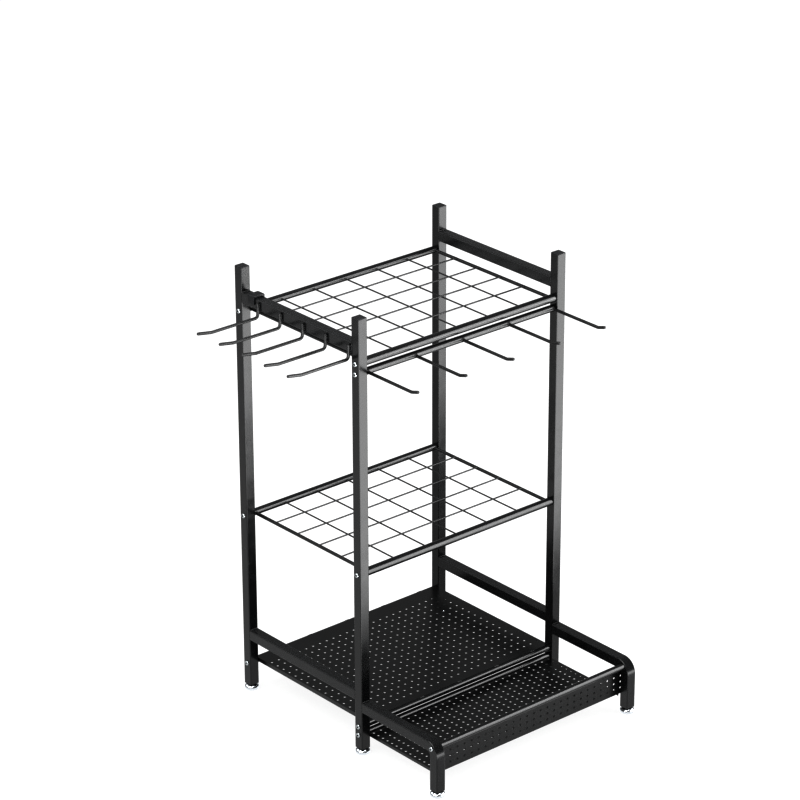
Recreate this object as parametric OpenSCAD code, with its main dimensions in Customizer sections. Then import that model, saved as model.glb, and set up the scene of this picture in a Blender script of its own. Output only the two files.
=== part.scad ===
// Freestanding garden tool rack: two welded side frames of square tube, joined by bolted
// round cross tubes that carry two wire grids, a hook bar, a rear tray and a front tray.
// X runs across the rack, +Y to the back, Z up. Zero is under the middle of the whole rack.

/* [Frame] */
// Outside width of the square tube
tube = 22; // [18:0.5:25]
// Wall of the square tube
wall = 1.2; // [1:0.1:2]
// Outer corner radius of the square tube
corner_r = 2; // [1:0.1:3]
// Distance between the left and right post centres
frame_w = 524; // [440:2:640]
// Distance between the back and front post centres
rear_d = 363; // [300:1:440]
// Distance from the front posts to the front legs, centre to centre
front_d = 230; // [180:1:280]
// Overall height, on feet screwed right in
height = 956.6; // [800:0.1:1100]
// Centre of the top side rails, below the top
top_rail_drop = 64; // [40:1:90]
// Centre height of the base side rails
base_rail_z = 132.6; // [115:0.1:165]
// Centre height of the front leg rails
leg_rail_z = 110.6; // [100:0.1:135]
// Centre line radius of the front leg's bend
leg_bend_r = 20; // [18:1:30]

/* [Cross tubes] */
// Outside diameter of the round cross tubes
bar_d = 14.4; // [12:0.2:16]
// Outside diameter of the thicker tubes at the front of the two grids
grid_front_d = 17; // [14:0.5:18]
// Wall of the round cross tubes
bar_wall = 1.2; // [1:0.1:1.5]
// Centre of the upper grid, below the top rails' centre
upper_drop = 31.5; // [25:0.5:60]
// Centre of the hook bar, below the upper grid's
hook_drop = 21.7; // [18:0.1:40]
// Centre height of the middle grid
middle_z = 406.1; // [250:0.1:600]
// Centre height of the rear tray's tubes
rear_tray_z = 63.6; // [61:0.1:85]
// Centre height of the front tray's rear tube
front_tray_z = 44.6; // [39:0.1:46.6]
// Centre of the fence's top tube, below the leg rails' centre
fence_drop = 3; // [0:0.5:5]
// Centre of the fence's top tube, behind the front legs' centre
fence_inset = 6; // [5:0.5:8]

/* [Wire grids] */
// Diameter of the grid wires
grid_wire_d = 3; // [2.5:0.5:4]
// Diameter of the grids' side rods
side_rod_d = 7; // [6:0.5:9]
// Gap between a side rod and the posts
side_rod_gap = 2; // [1:0.5:6]
// Spacing of the wires that run front to back
grid_pitch_x = 83.6; // [50:0.1:110]
// Spacing of the wires that run left to right
grid_pitch_y = 69.5; // [45:0.5:90]
// Where the first left to right wire lies, behind the front tube's centre
grid_first_y = 80.5; // [40:0.5:100]

/* [Prongs] */
// Diameter of the prong wire
prong_d = 6.2; // [5:0.1:7]
// How far a front prong reaches from the hook bar's centre
front_reach = 157; // [100:1:180]
// Length of a front prong's raised tip
front_tip_len = 19; // [12:1:35]
// Angle of a front prong's raised tip
front_tip_angle = 17; // [5:1:40]
// Gap between the outer front prongs and the posts
front_prong_gap = 1.9; // [1:0.1:40]
// How far a side prong reaches from the post centres
side_reach = 166.5; // [100:0.5:190]
// Length of a side prong's raised tip
side_tip_len = 33; // [15:1:45]
// Angle of a side prong's raised tip
side_tip_angle = 10; // [5:1:40]
// Centre of the side prongs, below the top rail's centre
side_drop = 25; // [22:0.5:40]
// Centre line radius of a side prong's root bend
side_bend_r = 7; // [6:0.5:10]
// Where the first side prong stands, behind the front post's centre
side_first_y = 16.5; // [15:0.5:40]
// Where the last side prong stands, in front of the back post's centre
side_last_y = 65.7; // [60:0.1:90]

/* [Trays] */
// Thickness of the perforated sheet
sheet_t = 1.2; // [0.8:0.1:2]
// Gap between a sheet's side and the posts
sheet_gap = 1; // [0.5:0.5:3]
// Diameter of the perforations
hole_d = 5; // [3:0.5:8]
// Column spacing of the perforations
hole_pitch_x = 18.6; // [12:0.1:30]
// Row spacing of the rear tray's perforations
rear_pitch_y = 19.6; // [12:0.1:30]
// Row spacing of the front tray's perforations
front_pitch_y = 14.15; // [12:0.05:30]
// Column spacing of the fence's perforations
fence_pitch_x = 18.8; // [12:0.1:30]
// Row spacing of the fence's perforations
fence_pitch_z = 13.9; // [12:0.1:20]
// How far the fence's ends reach out behind the legs
fence_tab = 11; // [8:0.5:18]
// How far the rear tray's side edges are folded down
rear_edge_h = 7.3; // [4:0.1:12]
// How far the front tray's side edges are folded down
front_edge_h = 5.1; // [3:0.1:8]

/* [Rail saddle] */
// Length of the saddle along the rail
saddle_len = 19; // [12:1:30]
// Where the saddle's back end lies, in front of the back post's centre
saddle_y = 34.5; // [20:0.5:40]
// Thickness of the saddle's top
saddle_top_t = 5.5; // [2:0.1:7]
// Thickness of the saddle's sides
saddle_side_t = 3; // [2:0.1:4]
// How far the saddle's sides come down the rail
saddle_leg = 13; // [8:0.5:18]

/* [Feet] */
// Diameter of the levelling feet
foot_d = 31.4; // [28:0.2:34]
// Height that the feet hold the tubes off the floor when screwed right in
foot_h = 14.2; // [12:0.1:18]
// Radius of the rounded rim of a foot's disc
foot_edge_r = 5.5; // [4:0.1:5.5]
// Radius of the foot's threaded stem
stem_r = 3.95; // [3:0.05:5]
// Gap between the top of a foot's stem and the lowest bolt
stem_gap = 1; // [0.5:0.5:4]
// Gap between the threaded block in a tube's end and the lowest bolt
block_gap = 3; // [1:0.5:6]

/* [Hidden] */
$fn = 48;

black = "#26282a";
zinc = "#c9ccce";

post_x = frame_w / 2;
face = tube / 2;
inner_x = post_x - face;
outer_x = post_x + face;
inner_r = max(corner_r - wall, 0.2);
plug_gap = 0.02;
bar_r = bar_d / 2;
grid_front_r = grid_front_d / 2;
prong_r = prong_d / 2;
foot_r = foot_d / 2;
bend_swell = 0.12;
cap_t = 2;
cap_plug_h = 12;
top_rail_z = height - top_rail_drop;
upper_z = top_rail_z - upper_drop;
hook_bar_z = upper_z - hook_drop;
// the fence's bolt sits in the leg's bend, a little behind and below its outer corner
fence_z = leg_rail_z - fence_drop;
fence_y = -(front_d - fence_inset);
fence_back_y = fence_y + bar_r;
// the side prongs reach past the left feet, so the middle of the whole lies left of the frame's
mid_x = ((post_x + foot_r) - (post_x + side_reach)) / 2;
mid_y = (rear_d - front_d) / 2;
// five prongs stand evenly on the hook bar, and five along the left top rail
front_pitch = (inner_x - front_prong_gap - prong_r) / 2;
side_pitch = (rear_d - side_last_y - side_first_y) / 4;
side_top_gap = 5;
// perforations keep this far from the sheet's edges
hole_margin_x = 8;
rear_first_y = 24.7;
rear_margin_y = 40;
front_first_y = 11.5;
fence_first_z = 13.2;
hole_margin = 5;
sheet_w = 2 * (inner_x - sheet_gap);
edge_gap = 0.2;
rear_sheet_z = rear_tray_z + bar_r;
// the front floor meets its rear tube a little below the tube's middle
front_floor_z = front_tray_z - 2.7;
fence_h = fence_z - front_floor_z;
// the fence's ends stand behind the legs, and reach up to the inner side of the legs' bends
fence_w = 2 * (inner_x + fence_tab);
bend_in_r = leg_bend_r - tube / 2;
bend_rise = sqrt(pow(bend_in_r, 2) - pow(fence_inset + bar_r - leg_bend_r, 2));
tab_h = leg_rail_z - leg_bend_r + bend_rise - edge_gap - front_floor_z;
front_depth = -fence_back_y - sheet_t;
// cross wires lie on the long ones, and a wire keeps this far from the rods and tubes
cross_lift = grid_wire_d - 0.02;
rod_x = inner_x - side_rod_gap - side_rod_d / 2;
wire_margin = 40;
nut_len = 12;
shank_r = 3;
// the lowest bolt crosses the front posts just above the feet's stems and blocks
foot_disc_h = 2 * foot_edge_r;
foot_hex_r = 7.5;
hex_gap = 0.05;
lowest_bolt = front_tray_z - shank_r;
stem_len = lowest_bolt - stem_gap - foot_disc_h;
block_h = lowest_bolt - block_gap - foot_h;

// How many copies fit in a span at a pitch
function copies(span, pitch) = 1 + floor(span / pitch + 0.001);

module place() {
    translate([-mid_x, -mid_y, 0]) children();
}

// A rounded square, exact at its corners
module rounded_square(side, r) {
    square([side - 2 * r, side], center = true);
    square([side, side - 2 * r], center = true);
    for (sx = [-1, 1], sy = [-1, 1]) translate([sx * (side / 2 - r), sy * (side / 2 - r)]) circle(r = r);
}

module tube_section() {
    difference() {
        rounded_square(tube, corner_r);
        rounded_square(tube - 2 * wall, inner_r);
    }
}

module along_x(x0, x1) {
    translate([x0, 0, 0]) rotate([0, 90, 0]) linear_extrude(x1 - x0) children();
}

module along_y(y0, y1) {
    translate([0, y1, 0]) rotate([90, 0, 0]) linear_extrude(y1 - y0) children();
}

// A clear hole across a tube, for a cross tube's bolt
module bolt_hole(y, z) {
    translate([0, y, z]) rotate([0, 90, 0]) cylinder(r = shank_r + 0.2, h = tube * 2, center = true);
}

module post(side, y, bolt_zs) {
    color(black) place() translate([side * post_x, y, 0]) difference() {
        translate([0, 0, foot_h]) linear_extrude(height - cap_t - foot_h) tube_section();
        for (z = bolt_zs) bolt_hole(0, z);
    }
}

module side_rail(side, z) {
    color(black) place() translate([side * post_x, 0, z]) along_y(face, rear_d - face) tube_section();
}

// One bent tube: a rail forward from the front post, a bend, and the leg down to its foot
module front_leg(side) {
    bend_y = -(front_d - leg_bend_r);
    bend_z = leg_rail_z - leg_bend_r;
    color(black) place() translate([side * post_x, 0, 0]) difference() {
        union() {
            translate([0, 0, leg_rail_z]) along_y(bend_y, -face) tube_section();
            translate([0, bend_y, bend_z]) rotate([90, 0, 90]) rotate([0, 0, 90])
                rotate_extrude(angle = 90) translate([leg_bend_r, 0]) tube_section();
            translate([0, -front_d, foot_h]) linear_extrude(bend_z - foot_h) tube_section();
        }
        bolt_hole(fence_y, fence_z);
    }
}

module post_cap(side, y) {
    plug = tube - 2 * (wall + plug_gap);
    color("#1b1c1d") place() translate([side * post_x, y, height - cap_t]) {
        linear_extrude(cap_t) rounded_square(tube, corner_r);
        translate([0, 0, -cap_plug_h]) linear_extrude(cap_plug_h) difference() {
            rounded_square(plug, inner_r);
            rounded_square(plug - 2 * cap_t, inner_r / 2);
        }
    }
}

// A round cross tube between the inner faces of two posts, open for the nuts in its ends
module cross_tube(y, z, r = bar_r) {
    color(black) place() translate([0, y, z]) along_x(-inner_x, inner_x) difference() {
        circle(r = r);
        circle(r = r - bar_wall);
    }
}

module solid_bar(y, z, r = bar_r) {
    translate([0, y, z]) rotate([0, 90, 0]) cylinder(r = r, h = 2 * inner_x, center = true);
}

// Wires that run front to back, with their ends shaped to the two tubes they are welded to
module long_rods(z, xs, r) {
    color(black) place() for (x = xs) difference() {
        translate([x, 0, z]) rotate([-90, 0, 0]) cylinder(r = r, h = rear_d);
        solid_bar(0, z, grid_front_r);
        solid_bar(rear_d, z);
    }
}

module side_rods(z) {
    long_rods(z, [-rod_x, rod_x], side_rod_d / 2);
}

module long_wires(z) {
    half = copies(rod_x - wire_margin, grid_pitch_x) - 1;
    long_rods(z, [for (i = [-half : half]) i * grid_pitch_x], grid_wire_d / 2);
}

module cross_wires(z) {
    n = copies(rear_d - grid_first_y - wire_margin, grid_pitch_y);
    color(black) place() for (i = [0 : n - 1]) difference() {
        translate([0, grid_first_y + i * grid_pitch_y, z + cross_lift]) rotate([0, 90, 0])
            cylinder(d = grid_wire_d, h = 2 * rod_x, center = true);
        for (x = [-rod_x, rod_x]) translate([x, 0, z]) rotate([-90, 0, 0])
            cylinder(d = side_rod_d, h = rear_d);
    }
}

// A rod along +Z with a rounded far end
module rounded_rod(r, len) {
    rotate_extrude() {
        square([r, len]);
        intersection() {
            translate([0, len]) circle(r = r);
            translate([0, len]) square([r, r]);
        }
    }
}

// A prong along +X: a level run, then a tip turned up a little, with a rounded end.
// The bend is a ball a touch fuller than the wire, as a pressed bend swells.
module prong(run, len, angle) {
    rotate([0, 90, 0]) cylinder(r = prong_r, h = run);
    translate([run, 0, 0]) {
        sphere(r = prong_r + bend_swell);
        rotate([0, 90 - angle, 0]) rounded_rod(prong_r, len);
    }
}

function level_run(reach, len, angle) = reach - len * cos(angle) - prong_r;

module front_prong(i) {
    run = level_run(front_reach, front_tip_len, front_tip_angle);
    color(black) place() difference() {
        translate([(i - 3) * front_pitch, 0, hook_bar_z]) rotate([0, 0, -90])
            prong(run, front_tip_len, front_tip_angle);
        solid_bar(0, hook_bar_z);
    }
}

// A wire welded up the rail's outer face, bent out below the rail into a level prong
module side_prong(i) {
    stand_x = face + prong_r;
    run = level_run(side_reach, side_tip_len, side_tip_angle) - stand_x - side_bend_r;
    top = side_drop + face - side_top_gap;
    y = side_first_y + (i - 1) * side_pitch;
    color(black) place() translate([-post_x - stand_x, y, top_rail_z - side_drop]) {
        translate([0, 0, side_bend_r]) cylinder(r = prong_r, h = top - side_bend_r);
        translate([-side_bend_r, 0, side_bend_r]) rotate([90, 0, 0]) rotate([0, 0, -90])
            rotate_extrude(angle = 90) translate([side_bend_r, 0]) circle(r = prong_r);
        translate([-side_bend_r, 0, 0]) rotate([0, 0, 180]) prong(run, side_tip_len, side_tip_angle);
    }
}

// A strap folded over the top rail
module saddle() {
    half = face + saddle_side_t;
    color("#1b1c1d") place() translate([-post_x, rear_d - saddle_y, top_rail_z + face]) rotate([90, 0, 0])
        linear_extrude(saddle_len) difference() {
            translate([-half, -saddle_leg]) square([2 * half, saddle_leg + saddle_top_t]);
            translate([0, -face]) rounded_square(tube, corner_r);
            translate([-face, -saddle_leg - tube]) square([tube, tube + saddle_leg - face]);
        }
}

module perforated(width, depth, nx, ny, px, py, first_y) {
    difference() {
        translate([-width / 2, 0]) square([width, depth]);
        for (i = [0 : nx - 1], j = [0 : ny - 1])
            translate([(i - (nx - 1) / 2) * px, first_y + j * py]) circle(d = hole_d, $fn = 24);
    }
}

function columns(width, pitch) = copies(width - 2 * hole_margin_x, pitch);

// The edges folded down at a sheet's two sides, between y0 and y1, below the sheet's underside
module side_edges(y0, y1, z, h) {
    for (s = [-1, 1]) translate([s * (sheet_w / 2 - sheet_t / 2), (y0 + y1) / 2, z + (sheet_t - h) / 2])
        cube([sheet_t, y1 - y0, h + sheet_t], center = true);
}

// The rear tray lies on its two tubes, with its side edges folded down between them
module rear_tray() {
    nx = columns(sheet_w, hole_pitch_x);
    rows = copies(rear_d - rear_first_y - rear_margin_y, rear_pitch_y);
    color(black) place() {
        translate([0, 0, rear_sheet_z]) linear_extrude(sheet_t)
            perforated(sheet_w, rear_d, nx, rows, hole_pitch_x, rear_pitch_y, rear_first_y);
        side_edges(bar_r + edge_gap, rear_d - bar_r - edge_gap, rear_sheet_z, rear_edge_h);
    }
}

// The front tray's floor is welded to its rear tube and runs to the foot of the fence
module front_tray() {
    nx = columns(sheet_w, hole_pitch_x);
    rows = copies(front_depth - front_first_y - hole_margin, front_pitch_y);
    color(black) place() difference() {
        union() {
            translate([0, 0, front_floor_z]) linear_extrude(sheet_t) mirror([0, 1, 0])
                perforated(sheet_w, front_depth, nx, rows, hole_pitch_x, front_pitch_y, front_first_y);
            side_edges(-front_depth, -bar_r - edge_gap, front_floor_z, front_edge_h);
        }
        solid_bar(0, front_tray_z);
    }
}

// The fence rises from the floor's front edge and is welded to the back of its top tube
module front_fence() {
    nx = columns(fence_w, fence_pitch_x);
    rows = copies(min(tab_h, fence_h - bar_r) - fence_first_z - hole_margin, fence_pitch_z);
    color(black) place() translate([0, fence_back_y + sheet_t, front_floor_z]) rotate([90, 0, 0])
        linear_extrude(sheet_t) difference() {
            perforated(fence_w, fence_h, nx, rows, fence_pitch_x, fence_pitch_z, fence_first_z);
            for (s = [0, 1]) mirror([s, 0, 0]) translate([sheet_w / 2, tab_h])
                square([fence_tab + sheet_gap + 1, fence_h]);
        }
}

// Each cross tube's centre and radius: where its bolts and end nuts go
BAR_ENDS = [
    [0, upper_z, grid_front_r], [rear_d, upper_z, bar_r], [0, hook_bar_z, bar_r],
    [0, middle_z, grid_front_r], [rear_d, middle_z, bar_r],
    [0, rear_tray_z, bar_r], [rear_d, rear_tray_z, bar_r],
    [0, front_tray_z, bar_r], [fence_y, fence_z, bar_r]
];

module end_nuts() {
    color(zinc) place() for (p = BAR_ENDS, s = [0, 1]) mirror([s, 0, 0])
        translate([-inner_x, p[0], p[1]]) rotate([0, 90, 0]) difference() {
            cylinder(r = p[2] - bar_wall, h = nut_len);
            translate([0, 0, -1]) cylinder(r = shank_r + 0.1, h = nut_len + 2);
        }
}

// A round-headed socket screw along +Z, with its head below zero
module screw() {
    head_r = 5.2;
    head_h = 3;
    ball_r = 6.2;
    cylinder(r = shank_r, h = tube + nut_len - 1);
    difference() {
        intersection() {
            translate([0, 0, -head_h]) cylinder(r = head_r, h = head_h);
            translate([0, 0, ball_r - head_h]) sphere(r = ball_r);
        }
        translate([0, 0, -head_h - 1]) cylinder(r = 2.2, h = head_h - 0.2, $fn = 6);
    }
}

module all_bolts() {
    color(zinc) place() for (p = BAR_ENDS, s = [0, 1]) mirror([s, 0, 0])
        translate([-outer_x, p[0], p[1]]) rotate([0, 90, 0]) screw();
}

// The threaded block pressed into the bottom of a tube
module foot_nut(side, y) {
    color("#1b1c1d") place() translate([side * post_x, y, foot_h]) linear_extrude(block_h) difference() {
        rounded_square(tube - 2 * (wall + plug_gap), inner_r);
        circle(r = stem_r + 0.1);
    }
}

// A levelling foot: thick round-edged disc, hex and threaded stem, as one turned piece
module foot(side, y) {
    rim_r = foot_r - foot_edge_r;
    color("#d9dbdd") place() translate([side * post_x, y, 0]) {
        rotate_extrude() {
            square([rim_r, foot_disc_h]);
            intersection() {
                translate([rim_r, foot_edge_r]) circle(r = foot_edge_r);
                translate([rim_r, 0]) square([foot_edge_r, foot_disc_h]);
            }
        }
        translate([0, 0, foot_disc_h]) cylinder(r = foot_hex_r, h = foot_h - foot_disc_h - hex_gap, $fn = 6);
        translate([0, 0, foot_disc_h]) cylinder(r = stem_r, h = stem_len);
    }
}

post(-1, rear_d, [upper_z, middle_z, rear_tray_z]);  // post_left_back
post(-1, 0, [upper_z, hook_bar_z, middle_z, rear_tray_z, front_tray_z]);  // post_left_front
post(1, rear_d, [upper_z, middle_z, rear_tray_z]);  // post_right_back
post(1, 0, [upper_z, hook_bar_z, middle_z, rear_tray_z, front_tray_z]);  // post_right_front
side_rail(-1, top_rail_z);  // top_rail_left
side_rail(1, top_rail_z);  // top_rail_right
side_rail(-1, base_rail_z);  // base_rail_left
side_rail(1, base_rail_z);  // base_rail_right
front_leg(-1);  // leg_left
front_leg(1);  // leg_right
post_cap(-1, rear_d);  // cap_left_back
post_cap(-1, 0);  // cap_left_front
post_cap(1, rear_d);  // cap_right_back
post_cap(1, 0);  // cap_right_front
cross_tube(rear_d, upper_z);  // upper_rear_tube
cross_tube(0, upper_z, grid_front_r);  // upper_front_tube
side_rods(upper_z);  // upper_side_rods
long_wires(upper_z);  // upper_long_wires
cross_wires(upper_z);  // upper_cross_wires
cross_tube(rear_d, middle_z);  // middle_rear_tube
cross_tube(0, middle_z, grid_front_r);  // middle_front_tube
side_rods(middle_z);  // middle_side_rods
long_wires(middle_z);  // middle_long_wires
cross_wires(middle_z);  // middle_cross_wires
cross_tube(0, hook_bar_z);  // hook_bar
front_prong(1);  // front_prong_1
front_prong(2);  // front_prong_2
front_prong(3);  // front_prong_3
front_prong(4);  // front_prong_4
front_prong(5);  // front_prong_5
side_prong(1);  // side_prong_1
side_prong(2);  // side_prong_2
side_prong(3);  // side_prong_3
side_prong(4);  // side_prong_4
side_prong(5);  // side_prong_5
saddle();  // rail_saddle
rear_tray();  // rear_tray_sheet
cross_tube(rear_d, rear_tray_z);  // rear_tray_rear_tube
cross_tube(0, rear_tray_z);  // rear_tray_front_tube
front_tray();  // front_tray_sheet
front_fence();  // front_fence_sheet
cross_tube(0, front_tray_z);  // front_tray_rear_tube
cross_tube(fence_y, fence_z);  // fence_top_tube
end_nuts();  // tube_end_nuts
all_bolts();  // bolts
foot_nut(-1, rear_d);  // foot_nut_left_back
foot_nut(-1, 0);  // foot_nut_left_mid
foot_nut(-1, -front_d);  // foot_nut_left_front
foot_nut(1, rear_d);  // foot_nut_right_back
foot_nut(1, 0);  // foot_nut_right_mid
foot_nut(1, -front_d);  // foot_nut_right_front
foot(-1, rear_d);  // foot_left_back
foot(-1, 0);  // foot_left_mid
foot(-1, -front_d);  // foot_left_front
foot(1, rear_d);  // foot_right_back
foot(1, 0);  // foot_right_mid
foot(1, -front_d);  // foot_right_front
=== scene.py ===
"""Looks of the freestanding garden tool rack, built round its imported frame.

The square tubes, round tubes, wires and perforated sheets keep their solids and get their coats
here. Bolts, feet, caps, prongs, the rail saddle and the weld beads are modelled in full.
"""

import logging
import math
from collections.abc import Iterable, Sequence
from dataclasses import dataclass, field, replace
from enum import Enum
from typing import Any

import bmesh
import bpy
from bmesh.types import BMEdge, BMesh, BMVert
from bpy.types import Material, Mesh, Node, NodeSocket, NodeTree, Object
from mathutils import Matrix, Vector, noise


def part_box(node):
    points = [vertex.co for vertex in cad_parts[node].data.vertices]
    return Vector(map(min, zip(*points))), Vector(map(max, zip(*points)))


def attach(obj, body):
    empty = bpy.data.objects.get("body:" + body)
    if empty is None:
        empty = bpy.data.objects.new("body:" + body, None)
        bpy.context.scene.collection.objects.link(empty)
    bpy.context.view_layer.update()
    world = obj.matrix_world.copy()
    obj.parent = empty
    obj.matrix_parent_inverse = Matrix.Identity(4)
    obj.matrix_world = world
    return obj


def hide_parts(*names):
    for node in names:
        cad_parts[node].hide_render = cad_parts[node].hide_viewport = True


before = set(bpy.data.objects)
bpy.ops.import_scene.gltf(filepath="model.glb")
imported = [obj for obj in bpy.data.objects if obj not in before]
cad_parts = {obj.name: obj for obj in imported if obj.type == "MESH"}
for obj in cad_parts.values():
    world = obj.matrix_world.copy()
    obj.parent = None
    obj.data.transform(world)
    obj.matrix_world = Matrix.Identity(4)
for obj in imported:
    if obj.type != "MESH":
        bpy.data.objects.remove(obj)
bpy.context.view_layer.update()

MM = 0.001
LOG = logging.getLogger("tool_rack")

X, Y, Z = Vector((1, 0, 0)), Vector((0, 1, 0)), Vector((0, 0, 1))
SHEETS = ("rear_tray_sheet", "front_tray_sheet", "front_fence_sheet")
# two places closer than this count as one
NEAR = 0.1 * MM
# the Mix node's colour sockets share their names with its number sockets, so they go by number
MIX_FIRST, MIX_SECOND, MIX_RESULT = 6, 7, 2
# a noise pattern seldom leaves this part of its range
NOISE_LOW, NOISE_HIGH = 0.3, 0.7


class Slot(Enum):
    """The record's finishes, by slot name; nothing in this script uses them."""

    FRAME = "frame_coat"
    WIRE = "wire_coat"
    SHEET = "sheet_coat"
    PLASTIC = "black_plastic"
    ZINC = "zinc"
    CHROME = "chrome_foot"


class Side(Enum):
    """A side of the rack, with its sign along X."""

    LEFT = -1
    RIGHT = 1

    @property
    def word(self) -> str:
        """The side's name as the nodes spell it."""
        return self.name.lower()


RAILS = tuple(f"{kind}_{side.word}" for kind in ("top_rail", "base_rail", "leg") for side in Side)


def linear(colour: str) -> tuple[float, float, float, float]:
    """Turns an sRGB hex colour to linear light.

    Args:
        colour: six hex digits after a hash.

    Returns:
        Linear red, green and blue, and an alpha of 1.
    """
    shares = [int(colour[i : i + 2], 16) / 255 for i in (1, 3, 5)]
    red, green, blue = (c / 12.92 if c <= 0.04045 else ((c + 0.055) / 1.055) ** 2.4 for c in shares)
    return red, green, blue, 1.0


def add_node(tree: NodeTree, kind: str, inputs: dict[str | int, Any] | None = None,
             **settings: Any) -> Node:
    """Adds a node with its settings and its links.

    Args:
        tree: the node tree that it goes into.
        kind: Blender's name for the kind of node.
        inputs: a value, or the socket to link from, for each input named or numbered.
        settings: the node's own properties.

    Returns:
        The new node.
    """
    node = tree.nodes.new(kind)
    for name, value in settings.items():
        setattr(node, name, value)
    for name, value in (inputs or {}).items():
        socket = node.inputs[name]
        if isinstance(value, NodeSocket):
            tree.links.new(value, socket)
        else:
            socket.default_value = value
    return node


@dataclass(frozen=True)
class Finish:
    """What every finish shares: a name, a shader and the object coordinates that patterns follow."""

    name: str

    def material(self) -> Material:
        """Makes the finish's material on first use.

        Returns:
            The material.
        """
        known = bpy.data.materials.get(self.name)
        if known is not None:
            return known
        made = bpy.data.materials.new(self.name)
        made.use_nodes = True
        tree = made.node_tree
        tree.nodes.clear()
        place = add_node(tree, "ShaderNodeTexCoord").outputs["Object"]
        shader = add_node(tree, "ShaderNodeBsdfPrincipled")
        add_node(tree, "ShaderNodeOutputMaterial", {"Surface": shader.outputs["BSDF"]})
        self.dress(tree, shader, place)
        return made

    def dress(self, tree: NodeTree, shader: Node, place: NodeSocket) -> None:
        """Sets the shader up; each finish has its own way.

        Args:
            tree: the material's nodes.
            shader: the shader to set up.
            place: the object coordinates in metres.
        """
        raise NotImplementedError

    def grain(self, tree: NodeTree, place: NodeSocket, size: float,
              detail: float = 2.0) -> NodeSocket:
        """Lays an even random pattern over the surface.

        Args:
            tree: the material's nodes.
            place: the coordinates that it follows, in metres.
            size: the distance between its bumps or clouds, in metres.
            detail: how many finer layers it has.

        Returns:
            The pattern, from 0 to 1.
        """
        pattern = add_node(tree, "ShaderNodeTexNoise", {"Vector": place, "Scale": 1 / size, "Detail": detail})
        return pattern.outputs["Fac"]

    def spread(self, tree: NodeTree, pattern: NodeSocket, ends: tuple[float, float]) -> NodeSocket:
        """Maps the middle of a pattern to the range between two ends."""
        ranged = add_node(tree, "ShaderNodeMapRange", {"Value": pattern, "From Min": NOISE_LOW,
                                                       "From Max": NOISE_HIGH, "To Min": ends[0],
                                                       "To Max": ends[1]})
        return ranged.outputs["Result"]

    def tint(self, tree: NodeTree, shader: Node, clouds: NodeSocket, shades: tuple[str, str]) -> None:
        """Mixes two sRGB hex colours by a pattern."""
        mix = add_node(tree, "ShaderNodeMix", {"Factor": self.spread(tree, clouds, (0.0, 1.0)),
                                               MIX_FIRST: linear(shades[0]), MIX_SECOND: linear(shades[1])},
                       data_type="RGBA")
        tree.links.new(mix.outputs[MIX_RESULT], shader.inputs["Base Color"])

    def dull(self, tree: NodeTree, shader: Node, patches: NodeSocket, gloss: tuple[float, float]) -> None:
        """Lets the roughness wander between two values by a pattern."""
        tree.links.new(self.spread(tree, patches, gloss), shader.inputs["Roughness"])

    def roughen(self, tree: NodeTree, shader: Node, height: NodeSocket,
                depth: float) -> None:
        """Turns a pattern into relief of a real depth in metres."""
        bump = add_node(tree, "ShaderNodeBump", {"Height": height, "Strength": 1.0, "Distance": depth})
        tree.links.new(bump.outputs["Normal"], shader.inputs["Normal"])


@dataclass(frozen=True)
class CloudedFinish(Finish):
    """A finish with clouds of two shades and patches of two glosses, over a fine relief.

    Lengths are in metres, and a patch is a share of a cloud.
    """

    shades: tuple[str, str]
    gloss: tuple[float, float]
    cloud: float
    patch: float
    relief: float
    depth: float
    detail: float = 2.0
    metallic: float = 0.0
    ior: float = 1.5

    def dress(self, tree: NodeTree, shader: Node, place: NodeSocket) -> None:
        """Lays the clouds, the patches and the relief.

        Args:
            tree: the material's nodes.
            shader: the shader to set up.
            place: the object coordinates in metres.
        """
        self.tint(tree, shader, self.grain(tree, place, self.cloud, self.detail), self.shades)
        self.dull(tree, shader, self.grain(tree, place, self.cloud * self.patch), self.gloss)
        shader.inputs["Metallic"].default_value = self.metallic
        shader.inputs["IOR"].default_value = self.ior
        self.roughen(tree, shader, self.grain(tree, place, self.relief), self.depth)


@dataclass(frozen=True)
class PowderCoat(CloudedFinish):
    """Black epoxy powder, sprayed and baked on steel: glossy, nearly pure black, with a faint orange peel."""

    shades: tuple[str, str] = ("#0a0b0c", "#101112")
    gloss: tuple[float, float] = (0.2, 0.28)
    cloud: float = 70 * MM
    patch: float = 1 / 3
    relief: float = 3.4 * MM
    depth: float = 0.008 * MM
    detail: float = 3.0
    # a cured epoxy film bends light a little more than glass does
    ior: float = 1.55


@dataclass(frozen=True)
class ZincPlate(CloudedFinish):
    """Bright zinc plated on turned steel: a cool silver, slightly cloudy, with fine tool marks."""

    shades: tuple[str, str] = ("#9a9ea2", "#b1b4b3")
    gloss: tuple[float, float] = (0.18, 0.3)
    cloud: float = 2.5 * MM
    patch: float = 0.48
    relief: float = 0.35 * MM
    depth: float = 0.004 * MM
    metallic: float = 1.0


@dataclass(frozen=True)
class MouldedPlastic(CloudedFinish):
    """Black polypropylene from a spark-eroded mould: matt, finely grained and a little greyed by handling."""

    shades: tuple[str, str] = ("#131416", "#1d1e20")
    gloss: tuple[float, float] = (0.42, 0.55)
    cloud: float = 12 * MM
    patch: float = 5 / 12
    relief: float = 0.6 * MM
    depth: float = 0.02 * MM
    ior: float = 1.49


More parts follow.
